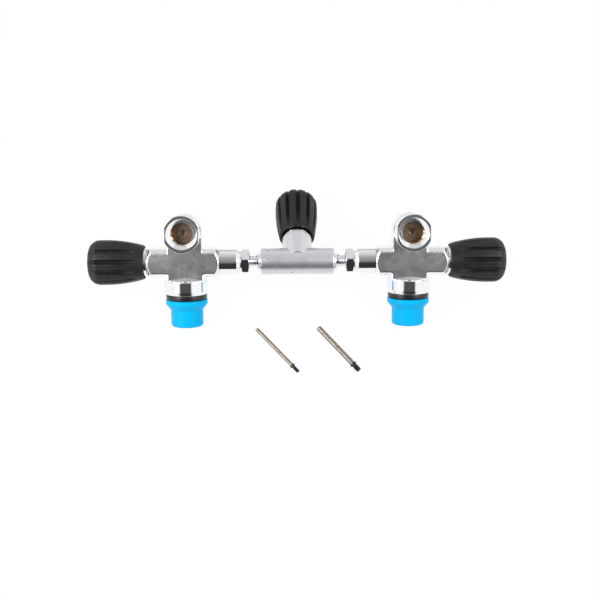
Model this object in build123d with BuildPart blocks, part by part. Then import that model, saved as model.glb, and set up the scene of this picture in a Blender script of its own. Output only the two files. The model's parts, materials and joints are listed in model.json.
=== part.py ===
from build123d import *
from math import asin, atan2, cos, degrees, hypot, radians, sin
import os

os.makedirs("parts", exist_ok=True)

# Twin cylinder manifold, taken off its cylinders and laid on a table.
# It is modelled upright, as it would stand on the cylinders: x runs along the
# crossbar, y points to the back, z up, with the origin on the crossbar's axis
# at mid length. The last section lays it on its back and writes the pieces.
# All lengths are millimetres, all angles degrees.

# whole manifold
neck_spacing = 215.0         # between the axes of the two cylinder necks
arm_end = 144.5              # from the middle to the end face of each outer arm
crossbar_joint = 75.0        # from the middle to where a valve meets its tube
lean_of_branch = 50.0        # the isolator branch leans this far back

# fits between pieces
running_gap = 0.05           # radial clearance of turning and sliding pieces
thread_gap = 0.05            # radial clearance of screwed pieces
press_gap = 0.02             # radial clearance of bonded and pressed pieces
cap_gap = 0.10               # radial clearance of the push-on caps
carrier_gap = 0.30           # radial clearance of the seat carrier in its bonnet
flange_gap = 0.15            # radial clearance of the stem's flange in its bonnet
washer_gap = 0.10            # radial clearance of the thrust washer on its stem
slot_gap = 0.10              # at each side of the stem's tongue in its slot
drill_overrun = 1.0          # drills start this far outside the surface
bore_run_out = 0.5           # blind bores run on this far past what they hold
tube_bore_past = 1.0         # the barrel's bore runs on this far past the branch's axis
face_gap = 0.30              # between faces of pieces that move apart

# valve body
arm_depth = 26.0             # front to back
arm_height = 26.8
arm_corner = 3.5             # 45 degree corners along the arms
inner_cone_length = 6.0      # turned cone where the crossbar tube meets the arm
outer_cone_length = 6.5      # turned cone under the knob
outer_cone_radius = 12.2
block_width = 35.8           # as deep as the arms, and flush with them
block_top = 8.0
block_round = 2.0            # of its upright edges
flange_radius = 21.3
flange_top = -17.6
flange_shoulder_radius = 20.4
flange_shoulder = -16.3
flange_cone_radius = 12.0
flange_cone_top = -14.1
flange_bottom = -27.3
flange_foot_radius = 19.8
flange_foot = -30.6

# neck thread, M25 x 2, and what sits on it
neck_thread_radius = 12.5
neck_relief_radius = 11.2
neck_end = -57.0
neck_chamfer = 1.0
neck_bore_radius = 3.5
dip_socket_radius = 4.0
dip_socket_depth = 10.0
neck_seal_radius = 19.8
neck_seal_foot = -35.7
neck_seal_round = 1.2

# push-on cap
cap_flange_radius = 20.2
cap_flange_height = 4.5
cap_cone_height = 5.5
cap_radius = 15.6
cap_floor = 2.2
cap_bottom = -62.5
cap_corner = 2.5

# regulator outlet, G 5/8 for a 300 bar fitting
outlet_height = 30.6         # of its axis above the crossbar axis
outlet_front = 38.5          # of its face in front of the crossbar axis
outlet_thread_radius = 11.46
outlet_depth = 17.0
outlet_mouth_radius = 14.3
outlet_mouth_depth = 2.6
outlet_ring_radius = 17.5
outlet_ring_length = 9.0
outlet_flat = 15.55          # half the width over the front ring's two flats
boss_radius = 16.3           # also half the width of the boss below its round top
boss_back = 10.0
boss_back_round = 5.0
outlet_port_radius = 2.5
outlet_port_depth = 8.0
gas_port_radius = 2.0
gas_port_stand = 2.5         # of the gas way's start above the seat
gas_port_side = 5.8          # of the gas way's start off the arm's axis

# what turns inside each valve, measured outwards from the end face of its arm
bonnet_shank_radius = 9.0
bonnet_shank_length = 13.0
bonnet_collar_radius = 13.6
bonnet_collar_height = 7.0
bonnet_collar_chamfer = 1.2
bonnet_hex = 22.0
bonnet_hex_height = 5.0
bonnet_roof = 7.0            # depth of the thrust face below the end face
gland_radius = 11.1
gland_depth = 1.7
washer_thickness = 0.95
stem_radius = 4.0
stem_flange_thickness = 1.45
stem_tongue_width = 8.0
stem_tongue_thickness = 3.0
stem_tongue_stand = 0.65     # from the tongue's tip to its slot's floor, valve open
stem_square = 5.6
stem_thread_radius = 2.9
stem_groove_depth = 1.0
stem_groove_width = 1.3
stem_groove_places = (-3.6, 2.4)
seat_depth = 24.5            # of the raised seat below the end face
seat_ring_height = 1.0
seat_ring_radius = 3.2
seat_bore_radius = 2.0
chamber_radius = 7.2
chamber_height = 5.0
carrier_radius = 6.8
carrier_top_gap = 0.45       # from the carrier to the stem's flange, valve open
carrier_foot = 0.95          # of the carrier's lower end above the seat
seat_disc_radius = 3.5
seat_disc_pocket = 1.5
carrier_slot_floor = 2.7     # from the carrier's lower end to its slot
thread_pitch = 1.5
turns_to_open = 2.5

# knob
knob_clearance = 2.6         # from the end face of the arm to the knob's rim
knob_length = 53.0
knob_radius = 21.6
knob_rim_radius = 16.2
knob_crown = 17.0            # from where the full radius starts to the far end
knob_corner = 11.0
skirt_radius = 15.0
skirt_depth = 10.55
core_radius = 12.0
core_length = 33.0
core_pocket_radius = 7.2
core_pocket_depth = 10.0
knob_mouth_radius = 8.0
flute_count = 12
flute_radius = 2.0
flute_depth = 2.3
flute_rise = 1.6             # the flutes run this much deeper towards the rim
spring_radius = 5.2
spring_wire = 1.1
spring_turns = 3.0
spring_height = 6.8
knob_nut_hex = 10.0
knob_nut_height = 5.0
stem_end_stand = 1.5         # the stem stands this far out of its nut
end_knob_clock = 8.5         # a flute of each end knob faces this far above the front
isolator_knob_clock = 4.0    # a flute of the middle knob faces this far off the top

# crossbar
tube_radius = 12.2
tube_chamfer = 2.2
tube_chamfer_length = 3.4
tube_spigot_radius = 8.0
tube_spigot_length = 13.0
tube_bore_radius = 2.8
tube_socket_depth = 15.0
tube_groove_depth = 1.2
tube_groove_width = 1.8
tube_groove_places = (4.0, 9.0)
stub_radius = 6.0
stub_end_gap = 1.0
lock_nut_hex = 22.5
lock_nut_height = 8.0
lock_nut_face_radius = 10.0
lock_nut_face_height = 1.3
lock_nut_chamfer = 1.6
lock_nut_clock = 15.0        # a corner of each lock nut faces this far above the front
lock_nut_stand = 6.1         # between the barrel's end and its lock nut

# isolator barrel
barrel_radius = 12.5
barrel_half_length = 39.6
barrel_chamfer = 5.0
branch_radius = 14.2
branch_length = 28.9         # from the crossbar axis to the branch's end face
branch_chamfer = 0.8
end_ring_inner = 24.0        # from the middle to the joint of barrel and end ring
end_ring_shank_radius = 9.0
end_ring_shank_length = 12.0
end_ring_groove_place = 2.5
end_ring_groove_depth = 1.2
end_ring_groove_width = 1.8
pit_place = 28.2
pit_radius = 0.9
pit_depth = 1.5
pit_count = 8
pit_clock = 17.5
bleed_place = -5.0
bleed_angle = 52.0
cross_port_radius = 1.6
cross_port_stand = 3.0       # of the cross port's end above the seat
cross_port_side = 5.6        # of the cross port's end off the branch's axis

# two dip tubes, loose on the table: outer radius, bore radius, and where the
# plain end and the threaded end lie, in front of the crossbar
dip_tubes = {
    "left": (1.85, 1.15, (-40.4, -54.2), (0.2, -98.7)),
    "right": (2.6, 1.8, (20.6, -53.6), (59.2, -98.1)),
}
dip_collar_height = 0.6      # the collar stands this far over the tube
dip_collar_length = 2.2
dip_groove_length = 1.2
dip_groove_depth = 0.5
dip_thread_length = 6.0
dip_shank_length = 5.0
dip_tip_chamfer = 0.6

neck_place = neck_spacing / 2
branch_back = radians(lean_of_branch)
branch_axis = Vector(0, sin(branch_back), cos(branch_back))
branch_top = Vector(0, -cos(branch_back), sin(branch_back))
lift = thread_pitch * turns_to_open
bonnet_pocket_radius = carrier_radius + carrier_gap
tube_end = barrel_half_length + lock_nut_stand + lock_nut_height + lock_nut_face_height

upright = {}


def keep(piece, name, place=None):
    solid = piece if place is None else piece.moved(place.location)
    solid.label = name
    upright[name] = solid


def turned(points, plane=Plane.XZ, axis=Axis.Z):
    with BuildPart() as blank:
        with BuildSketch(plane):
            with BuildLine():
                Polyline(*points, close=True)
            make_face()
        revolve(axis=axis)
    return blank.part


def ring(centre_radius, section_radius, heights):
    with BuildPart() as rings:
        with BuildSketch(Plane.XZ):
            with Locations(*[(centre_radius, height) for height in heights]):
                Circle(section_radius)
        revolve(axis=Axis.Z)
    return rings.part


def drill(start, end, radius):
    run = Vector(*end) - Vector(*start)
    with BuildPart() as bore:
        with BuildSketch(Plane(origin=start, z_dir=run)):
            Circle(radius)
        extrude(amount=run.length)
    return bore.part


# heights above the end face of the arm, used by several pieces
flange_high = -bonnet_roof - washer_thickness - running_gap
flange_low = flange_high - stem_flange_thickness
carrier_low = -seat_depth + carrier_foot
carrier_high = flange_low - lift - carrier_top_gap
slot_low = carrier_low + carrier_slot_floor
tongue_low = slot_low + lift + stem_tongue_stand
core_low = knob_clearance + skirt_depth
core_high = core_low + core_length
spring_seat = core_high - core_pocket_depth
nut_low = spring_seat + spring_height + spring_wire / 2
nut_high = nut_low + knob_nut_height
knob_high = knob_clearance + knob_length
knob_belly = knob_length - knob_crown


def valve_cavity():
    # what is bored out of an arm or branch for its bonnet, spindle and seat
    shank = bonnet_shank_radius
    thread = carrier_radius + thread_gap
    floor = -seat_depth - seat_ring_height
    return turned([
        (0, 0), (gland_radius, 0), (gland_radius, -gland_depth), (shank, -gland_depth),
        (shank, -bonnet_shank_length), (thread, -bonnet_shank_length),
        (thread, floor + chamber_height), (chamber_radius, floor + chamber_height),
        (chamber_radius, floor), (seat_ring_radius, floor),
        (seat_ring_radius, -seat_depth), (0, -seat_depth),
    ])


def bonnet_nut():
    bore = stem_radius + running_gap
    shank = bonnet_shank_radius - thread_gap
    with BuildPart() as nut:
        add(turned([
            (bore, bonnet_collar_height),
            (bonnet_collar_radius - bonnet_collar_chamfer, bonnet_collar_height),
            (bonnet_collar_radius, bonnet_collar_height - bonnet_collar_chamfer),
            (bonnet_collar_radius, 0), (shank, 0), (shank, -bonnet_shank_length),
            (bonnet_pocket_radius, -bonnet_shank_length), (bonnet_pocket_radius, -bonnet_roof),
            (bore, -bonnet_roof),
        ]))
        with BuildSketch(Plane.XY.offset(bonnet_collar_height)):
            RegularPolygon(radius=bonnet_hex / 2, side_count=6, major_radius=False)
            Circle(bore, mode=Mode.SUBTRACT)
        extrude(amount=bonnet_hex_height)
    return nut.part


def bonnet_seal():
    section = gland_depth / 2
    return ring(gland_radius - section - running_gap, section - running_gap / 2, [-section])


def thrust_washer():
    inner = stem_radius + washer_gap
    outer = bonnet_pocket_radius - 2 * washer_gap
    low = -bonnet_roof - washer_thickness
    return turned([(inner, -bonnet_roof), (outer, -bonnet_roof), (outer, low), (inner, low)])


def stem():
    # tongue, thrust flange, sealed shaft, square and threaded end
    groove = stem_radius - stem_groove_depth
    with BuildPart() as spindle:
        with BuildSketch(Plane.XY.offset(flange_low)):
            Circle(bonnet_pocket_radius - flange_gap)
        extrude(amount=stem_flange_thickness)
        with BuildSketch(Plane.XY.offset(flange_low)):
            Circle(stem_radius)
        extrude(amount=core_low - flange_low)
        for place in stem_groove_places:
            with BuildSketch(Plane.XY.offset(place - stem_groove_width / 2)):
                Circle(stem_radius)
                Circle(groove, mode=Mode.SUBTRACT)
            extrude(amount=stem_groove_width, mode=Mode.SUBTRACT)
        with BuildSketch(Plane.XY.offset(core_low)):
            Rectangle(stem_square, stem_square)
        extrude(amount=spring_seat - core_low)
        with BuildSketch(Plane.XY.offset(spring_seat)):
            Circle(stem_thread_radius)
        extrude(amount=nut_high + stem_end_stand - spring_seat)
        with BuildSketch(Plane.XY.offset(flange_low)):
            Rectangle(stem_tongue_width, stem_tongue_thickness)
        extrude(amount=tongue_low - flange_low)
    return spindle.part


def stem_seals():
    section = (stem_groove_depth - running_gap / 2) / 2
    return ring(stem_radius - stem_groove_depth + running_gap + section, section, stem_groove_places)


def seat_carrier():
    with BuildPart() as carrier:
        with BuildSketch(Plane.XY.offset(carrier_low)):
            Circle(carrier_radius)
        extrude(amount=carrier_high - carrier_low)
        with BuildSketch(Plane.XY.offset(carrier_low)):
            Circle(seat_disc_radius + press_gap)
        extrude(amount=seat_disc_pocket, mode=Mode.SUBTRACT)
        with BuildSketch(Plane.XY.offset(slot_low)):
            Rectangle(stem_tongue_width + 2 * slot_gap, stem_tongue_thickness + 2 * slot_gap)
        extrude(amount=carrier_high - slot_low, mode=Mode.SUBTRACT)
    return carrier.part


def seat_disc():
    with BuildPart() as disc:
        with BuildSketch(Plane.XY.offset(-seat_depth + running_gap)):
            Circle(seat_disc_radius)
        extrude(amount=carrier_foot + seat_disc_pocket - running_gap)
    return disc.part


def knob_core():
    with BuildPart() as core:
        with BuildSketch(Plane.XY.offset(core_low)):
            Circle(core_radius - press_gap)
            Rectangle(stem_square + 2 * running_gap, stem_square + 2 * running_gap, mode=Mode.SUBTRACT)
        extrude(amount=core_length - core_pocket_depth)
        with BuildSketch(Plane.XY.offset(spring_seat)):
            Circle(core_radius - press_gap)
            Circle(core_pocket_radius, mode=Mode.SUBTRACT)
        extrude(amount=core_pocket_depth)
    return core.part


def knob_flute():
    # one straight round-bottomed flute, a little closer to the axis at the rim
    outer = knob_radius - flute_depth + flute_radius
    reach = knob_length - knob_belly
    tilt = atan2(flute_rise, knob_belly)
    with BuildPart() as flute:
        with BuildSketch(Plane(origin=(outer + reach * sin(tilt), 0, knob_high + flute_radius),
                               z_dir=(-sin(tilt), 0, -cos(tilt)))):
            Circle(flute_radius)
        extrude(amount=knob_length)
    return flute.part


def knob_grip():
    swell = knob_radius - knob_rim_radius
    side_arc = (swell ** 2 + knob_belly ** 2) / (2 * swell)
    belly = knob_clearance + knob_belly
    flute = knob_flute()
    with BuildPart() as grip:
        with BuildSketch(Plane.XZ):
            with BuildLine():
                Polyline((knob_radius - knob_corner, knob_high), (knob_mouth_radius, knob_high),
                         (knob_mouth_radius, core_high), (core_radius, core_high),
                         (core_radius, core_low), (skirt_radius, core_low),
                         (skirt_radius, knob_clearance), (knob_rim_radius, knob_clearance))
                RadiusArc((knob_rim_radius, knob_clearance), (knob_radius, belly), -side_arc)
                Line((knob_radius, belly), (knob_radius, knob_high - knob_corner))
                RadiusArc((knob_radius, knob_high - knob_corner), (knob_radius - knob_corner, knob_high),
                          -knob_corner)
            make_face()
        revolve(axis=Axis.Z)
        with PolarLocations(0, flute_count):
            add(flute, mode=Mode.SUBTRACT)
    return grip.part


def knob_spring():
    height = spring_height - spring_wire
    with BuildPart() as spring:
        with BuildLine():
            coil = Helix(pitch=height / spring_turns, height=height, radius=spring_radius,
                         center=(0, 0, spring_seat + spring_wire / 2 + running_gap))
        with BuildSketch(Plane(origin=coil @ 0, z_dir=coil % 0)):
            Circle(spring_wire / 2)
        sweep(path=coil, is_frenet=True)
    return spring.part


def knob_nut():
    with BuildPart() as nut:
        with BuildSketch(Plane.XY.offset(nut_low)):
            RegularPolygon(radius=knob_nut_hex / 2, side_count=6, major_radius=False)
            Circle(stem_thread_radius + thread_gap, mode=Mode.SUBTRACT)
        extrude(amount=knob_nut_height)
    return nut.part


def operating_set(prefix, end_face):
    # everything that closes one valve, on the end face of its arm
    keep(bonnet_nut(), f"{prefix}_bonnet_nut", end_face)
    keep(bonnet_seal(), f"{prefix}_bonnet_seal", end_face)
    keep(thrust_washer(), f"{prefix}_thrust_washer", end_face)
    keep(stem(), f"{prefix}_stem", end_face)
    keep(stem_seals(), f"{prefix}_stem_seals", end_face)
    keep(seat_carrier(), f"{prefix}_seat_carrier", end_face)
    keep(seat_disc(), f"{prefix}_seat_disc", end_face)
    keep(knob_core(), f"{prefix}_knob_core", end_face)
    keep(knob_grip(), f"{prefix}_knob_grip", end_face)
    keep(knob_spring(), f"{prefix}_knob_spring", end_face)
    keep(knob_nut(), f"{prefix}_knob_nut", end_face)


def valve_arm():
    # the bar from the crossbar tube to the bonnet, coned at both ends
    corner = hypot(arm_depth, arm_height) / 2
    with BuildPart() as arm:
        with BuildSketch(Plane.YZ.offset(crossbar_joint)):
            outline = Rectangle(arm_depth, arm_height)
            chamfer(outline.vertices(), arm_corner)
        extrude(amount=arm_end - crossbar_joint)
        with BuildSketch(Plane.XY):
            with BuildLine():
                Polyline((crossbar_joint, 0), (crossbar_joint, tube_radius),
                         (crossbar_joint + inner_cone_length, corner),
                         (arm_end - outer_cone_length, corner), (arm_end, outer_cone_radius),
                         (arm_end, 0), close=True)
            make_face()
        revolve(axis=Axis.X, mode=Mode.INTERSECT)
    return arm.part


def valve_neck():
    # block, then flange and threaded spigot around the neck axis
    axis = Axis((neck_place, 0, 0), (0, 0, 1))
    plane = Plane(origin=(neck_place, 0, 0), x_dir=(1, 0, 0), z_dir=(0, -1, 0))
    with BuildPart() as block:
        with BuildSketch(Plane(origin=(neck_place, 0, flange_top))):
            RectangleRounded(block_width, arm_depth, block_round)
        extrude(amount=block_top - flange_top)
    return block.part + turned([
        (0, flange_cone_top), (flange_cone_radius, flange_cone_top),
        (flange_shoulder_radius, flange_shoulder), (flange_radius, flange_top),
        (flange_radius, flange_bottom),
        (flange_foot_radius, flange_foot), (neck_relief_radius, flange_foot),
        (neck_relief_radius, neck_seal_foot), (neck_thread_radius, neck_seal_foot),
        (neck_thread_radius, neck_end + neck_chamfer), (neck_thread_radius - neck_chamfer, neck_end),
        (0, neck_end),
    ], plane, axis)


def outlet_boss():
    # round boss with two flats, rounded off at the back, and its wider front ring
    with BuildPart() as boss:
        with BuildSketch(Plane(origin=(neck_place, boss_back, 0), x_dir=(1, 0, 0),
                               z_dir=(0, -1, 0))):
            with Locations((0, outlet_height)):
                Circle(boss_radius)
            with Locations((0, outlet_height / 2)):
                Rectangle(2 * boss_radius, outlet_height)
        extrude(amount=boss_back + arm_depth / 2)
        fillet(boss.faces().sort_by(Axis.Y)[-1].edges(), boss_back_round)
        front = Plane(origin=(neck_place, -outlet_front, outlet_height), x_dir=(1, 0, 0),
                      z_dir=(0, -1, 0))
        with BuildSketch(front):
            Circle(outlet_flat)
        extrude(amount=-outlet_front)
        with BuildSketch(front):
            Circle(outlet_ring_radius)
            Rectangle(2 * outlet_flat, 2 * outlet_ring_radius, mode=Mode.INTERSECT)
        extrude(amount=-outlet_ring_length)
    return boss.part


def valve_body():
    front = -outlet_front
    floor = front + outlet_depth
    outlet_axis = Axis((neck_place, 0, outlet_height), (0, 1, 0))
    outlet_plane = Plane(origin=(neck_place, 0, outlet_height), x_dir=(1, 0, 0), z_dir=(0, 0, 1))
    port_end = Vector(neck_place, floor + outlet_port_depth, outlet_height)
    port_side = Vector(0, port_end.Y, port_end.Z).normalized() * gas_port_side
    chamber = Vector(arm_end - seat_depth + gas_port_stand, 0, 0) + port_side
    seat_end = (arm_end - seat_depth, 0, 0)
    foot = (neck_place, 0, neck_end)
    bonnet_face = Plane(origin=(arm_end, 0, 0), z_dir=(1, 0, 0))
    with BuildPart() as body:
        add(valve_arm())
        add(valve_neck())
        add(outlet_boss())
        # outlet socket with its wide turned mouth
        add(turned([(0, front), (outlet_mouth_radius, front),
                    (outlet_thread_radius, front + outlet_mouth_depth),
                    (outlet_thread_radius, floor), (0, floor)], outlet_plane, outlet_axis),
            mode=Mode.SUBTRACT)
        add(drill((neck_place, floor, outlet_height), port_end, outlet_port_radius), mode=Mode.SUBTRACT)
        add(drill(chamber, port_end, gas_port_radius), mode=Mode.SUBTRACT)
        # bores for bonnet, spindle and seat, neck and crossbar tube
        add(valve_cavity().moved(bonnet_face.location), mode=Mode.SUBTRACT)
        add(drill((crossbar_joint, 0, 0), seat_end, seat_bore_radius), mode=Mode.SUBTRACT)
        add(drill(foot, (neck_place, 0, 0), neck_bore_radius), mode=Mode.SUBTRACT)
        add(drill(foot, (neck_place, 0, neck_end + dip_socket_depth), dip_socket_radius),
            mode=Mode.SUBTRACT)
        add(drill((crossbar_joint, 0, 0), (crossbar_joint + tube_spigot_length + bore_run_out, 0, 0),
                  tube_spigot_radius + thread_gap), mode=Mode.SUBTRACT)
    return body.part


def neck_seal():
    axis = Axis((neck_place, 0, 0), (0, 0, 1))
    with BuildPart() as seal:
        with BuildSketch(Plane(origin=(neck_place, 0, 0), x_dir=(1, 0, 0), z_dir=(0, -1, 0))):
            middle = (neck_relief_radius + press_gap + neck_seal_radius) / 2
            with Locations((middle, (flange_foot + neck_seal_foot) / 2)):
                RectangleRounded(neck_seal_radius - neck_relief_radius - press_gap,
                                 flange_foot - neck_seal_foot, neck_seal_round)
        revolve(axis=axis)
    return seal.part


def thread_cap():
    top = neck_seal_foot - face_gap
    bore = neck_thread_radius + cap_gap
    cone = top - cap_flange_height
    with BuildPart() as cap:
        with BuildSketch(Plane(origin=(neck_place, 0, 0), x_dir=(1, 0, 0), z_dir=(0, -1, 0))):
            with BuildLine():
                Polyline((cap_radius - cap_corner, cap_bottom), (0, cap_bottom),
                         (0, cap_bottom + cap_floor), (bore, cap_bottom + cap_floor), (bore, top),
                         (cap_flange_radius, top), (cap_flange_radius, cone),
                         (cap_radius, cone - cap_cone_height), (cap_radius, cap_bottom + cap_corner))
                RadiusArc((cap_radius, cap_bottom + cap_corner), (cap_radius - cap_corner, cap_bottom),
                          cap_corner)
            make_face()
        revolve(axis=Axis((neck_place, 0, 0), (0, 0, 1)))
    return cap.part


def crossbar_tube():
    # tube with a plain spigot for the valve and a threaded socket for the isolator
    tip = crossbar_joint + tube_spigot_length
    groove = tube_spigot_radius - tube_groove_depth
    with BuildPart() as tube:
        add(turned([
            (tube_end, 0), (tube_end, tube_radius - tube_chamfer),
            (tube_end + tube_chamfer_length, tube_radius), (crossbar_joint, tube_radius),
            (crossbar_joint, tube_spigot_radius), (tip, tube_spigot_radius), (tip, 0),
        ], Plane.XY, Axis.X))
        for place in tube_groove_places:
            with BuildSketch(Plane.YZ.offset(crossbar_joint + place - tube_groove_width / 2)):
                Circle(tube_spigot_radius)
                Circle(groove, mode=Mode.SUBTRACT)
            extrude(amount=tube_groove_width, mode=Mode.SUBTRACT)
        add(drill((tube_end, 0, 0), (tip, 0, 0), tube_bore_radius), mode=Mode.SUBTRACT)
        add(drill((tube_end, 0, 0), (tube_end + tube_socket_depth, 0, 0), stub_radius + thread_gap),
            mode=Mode.SUBTRACT)
    return tube.part


def crossbar_seals():
    section = (tube_groove_depth - running_gap) / 2
    centre = tube_spigot_radius - tube_groove_depth + running_gap + section
    with BuildPart() as seals:
        with BuildSketch(Plane.XY):
            with Locations(*[(crossbar_joint + place, centre) for place in tube_groove_places]):
                Circle(section)
        revolve(axis=Axis.X)
    return seals.part


def lock_nut():
    low = tube_end - lock_nut_face_height - lock_nut_height
    high = low + lock_nut_height
    corner = lock_nut_hex / 2 / cos(radians(30))
    with BuildPart() as nut:
        with BuildSketch(Plane.YZ.offset(low)):
            RegularPolygon(radius=lock_nut_hex / 2, side_count=6, major_radius=False,
                           rotation=-lock_nut_clock)
        extrude(amount=lock_nut_height)
        add(turned([
            (low, 0), (low, corner - 2 * lock_nut_chamfer), (low + lock_nut_chamfer, corner),
            (high - lock_nut_chamfer / 2, corner), (high, corner - lock_nut_chamfer), (high, 0),
        ], Plane.XY, Axis.X), mode=Mode.INTERSECT)
        with BuildSketch(Plane.YZ.offset(high)):
            Circle(lock_nut_face_radius)
        extrude(amount=lock_nut_face_height)
        add(drill((low, 0, 0), (tube_end, 0, 0), stub_radius + thread_gap), mode=Mode.SUBTRACT)
    return nut.part


stub_tip = tube_end + tube_socket_depth - stub_end_gap


def isolator_body():
    joint = -end_ring_inner
    shank_end = joint + end_ring_shank_length + bore_run_out
    branch = Plane(origin=(0, 0, 0), x_dir=(1, 0, 0), z_dir=branch_axis)
    branch_face = Plane(origin=branch_axis * branch_length, x_dir=(1, 0, 0), z_dir=branch_axis)
    chamber = branch_axis * (branch_length - seat_depth + cross_port_stand)
    chamber = chamber - Vector(cross_port_side, 0, 0)
    seat_end = branch_axis * (branch_length - seat_depth)
    bleed = radians(bleed_angle)
    bleed_out = Vector(0, -cos(bleed), -sin(bleed))
    bleed_foot = Vector(bleed_place, 0, 0)
    with BuildPart() as body:
        add(turned([
            (joint, 0), (joint, barrel_radius), (barrel_half_length - barrel_chamfer, barrel_radius),
            (barrel_half_length, barrel_radius - barrel_chamfer), (barrel_half_length, stub_radius),
            (stub_tip, stub_radius), (stub_tip, 0),
        ], Plane.XY, Axis.X))
        with BuildSketch(branch):
            Circle(branch_radius)
        extrude(amount=branch_length)
        chamfer(body.edges().filter_by(GeomType.CIRCLE).sort_by(Axis((0, 0, 0), branch_axis))[-1],
                branch_chamfer)
        add(valve_cavity().moved(branch_face.location), mode=Mode.SUBTRACT)
        # gas way: right stub to below the seat, chamber to the end ring's bore
        add(drill((stub_tip, 0, 0), (-tube_bore_past, 0, 0), tube_bore_radius), mode=Mode.SUBTRACT)
        add(drill((0, 0, 0), seat_end, seat_bore_radius), mode=Mode.SUBTRACT)
        add(drill((joint, 0, 0), (shank_end, 0, 0), end_ring_shank_radius + thread_gap),
            mode=Mode.SUBTRACT)
        add(drill((shank_end, 0, 0), chamber, cross_port_radius), mode=Mode.SUBTRACT)
        # small dead hole low at the front
        add(drill(bleed_foot + bleed_out * (barrel_radius - pit_depth),
                  bleed_foot + bleed_out * (barrel_radius + drill_overrun), pit_radius),
            mode=Mode.SUBTRACT)
    return body.part


def isolator_end_ring():
    # screwed-in left end of the barrel with its threaded stub and spanner pits
    joint = -end_ring_inner
    groove = joint + end_ring_groove_place
    with BuildPart() as end_ring:
        add(turned([
            (-stub_tip, 0), (-stub_tip, stub_radius), (-barrel_half_length, stub_radius),
            (-barrel_half_length, barrel_radius - barrel_chamfer),
            (-barrel_half_length + barrel_chamfer, barrel_radius), (joint, barrel_radius),
            (joint, end_ring_shank_radius), (joint + end_ring_shank_length, end_ring_shank_radius),
            (joint + end_ring_shank_length, 0),
        ], Plane.XY, Axis.X))
        with BuildSketch(Plane.YZ.offset(groove - end_ring_groove_width / 2)):
            Circle(end_ring_shank_radius)
            Circle(end_ring_shank_radius - end_ring_groove_depth, mode=Mode.SUBTRACT)
        extrude(amount=end_ring_groove_width, mode=Mode.SUBTRACT)
        add(drill((-stub_tip, 0, 0), (joint + end_ring_shank_length, 0, 0), tube_bore_radius),
            mode=Mode.SUBTRACT)
        for number in range(pit_count):
            turn = radians(pit_clock + number * 360 / pit_count)
            out = Vector(0, -cos(turn), sin(turn))
            middle = Vector(-pit_place, 0, 0)
            add(drill(middle + out * (barrel_radius - pit_depth),
                      middle + out * (barrel_radius + drill_overrun), pit_radius),
                mode=Mode.SUBTRACT)
    return end_ring.part


def end_ring_seal():
    section = (end_ring_groove_depth - running_gap) / 2
    centre = end_ring_shank_radius - end_ring_groove_depth + running_gap + section
    with BuildPart() as seal:
        with BuildSketch(Plane.XY):
            with Locations((-end_ring_inner + end_ring_groove_place, centre)):
                Circle(section)
        revolve(axis=Axis.X)
    return seal.part


def dip_tube_pair(radius, bore, plain_end, threaded_end):
    # tube and end fitting along +Z from the tube's plain end, with their place on the table
    collar = radius + dip_collar_height
    run = hypot(threaded_end[0] - plain_end[0], threaded_end[1] - plain_end[1])
    tube_length = run - dip_collar_length - dip_groove_length - dip_thread_length
    tilt = atan2(dip_collar_height, tube_length)
    with BuildPart() as tube:
        with BuildSketch():
            Circle(radius)
            Circle(bore, mode=Mode.SUBTRACT)
        extrude(amount=tube_length)
    shank = bore - press_gap
    groove_start = tube_length + dip_collar_length
    thread_start = groove_start + dip_groove_length
    with BuildPart() as fitting:
        add(turned([
            (0, tube_length - dip_shank_length), (shank, tube_length - dip_shank_length),
            (shank, tube_length), (collar, tube_length), (collar, groove_start),
            (radius - dip_groove_depth, groove_start), (radius - dip_groove_depth, thread_start),
            (radius, thread_start), (radius, run - dip_tip_chamfer),
            (radius - dip_tip_chamfer, run), (0, run),
        ]))
        with BuildSketch(Plane.XY.offset(tube_length - dip_shank_length)):
            Circle(bore / 2)
        extrude(amount=run, mode=Mode.SUBTRACT)
    along = (Vector(*threaded_end) - Vector(*plain_end)).normalized()
    lie = Plane(origin=(*plain_end, radius * cos(tilt)),
                z_dir=(along.X * cos(tilt), along.Y * cos(tilt), sin(tilt)))
    return tube.part.moved(lie.location), fitting.part.moved(lie.location)


# the two cylinder valves, the left one the mirror image of the right one
for side, hand in (("right", 1), ("left", -1)):
    for name, piece in (
        ("valve_body", valve_body()), ("neck_seal", neck_seal()), ("thread_cap", thread_cap()),
        ("crossbar_tube", crossbar_tube()), ("crossbar_seals", crossbar_seals()),
        ("lock_nut", lock_nut()),
    ):
        keep(piece if hand == 1 else mirror(piece, about=Plane.YZ), f"{side}_{name}")
    clock = radians(end_knob_clock)
    operating_set(side, Plane(origin=(hand * arm_end, 0, 0), x_dir=(0, -cos(clock), sin(clock)),
                              z_dir=(hand, 0, 0)))

# the isolator between them
keep(isolator_body(), "isolator_body")
keep(isolator_end_ring(), "isolator_end_ring")
keep(end_ring_seal(), "isolator_end_seal")
clock = radians(isolator_knob_clock)
operating_set("isolator", Plane(origin=branch_axis * branch_length, z_dir=branch_axis,
                                x_dir=branch_top * cos(clock) + Vector(sin(clock), 0, 0)))

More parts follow.
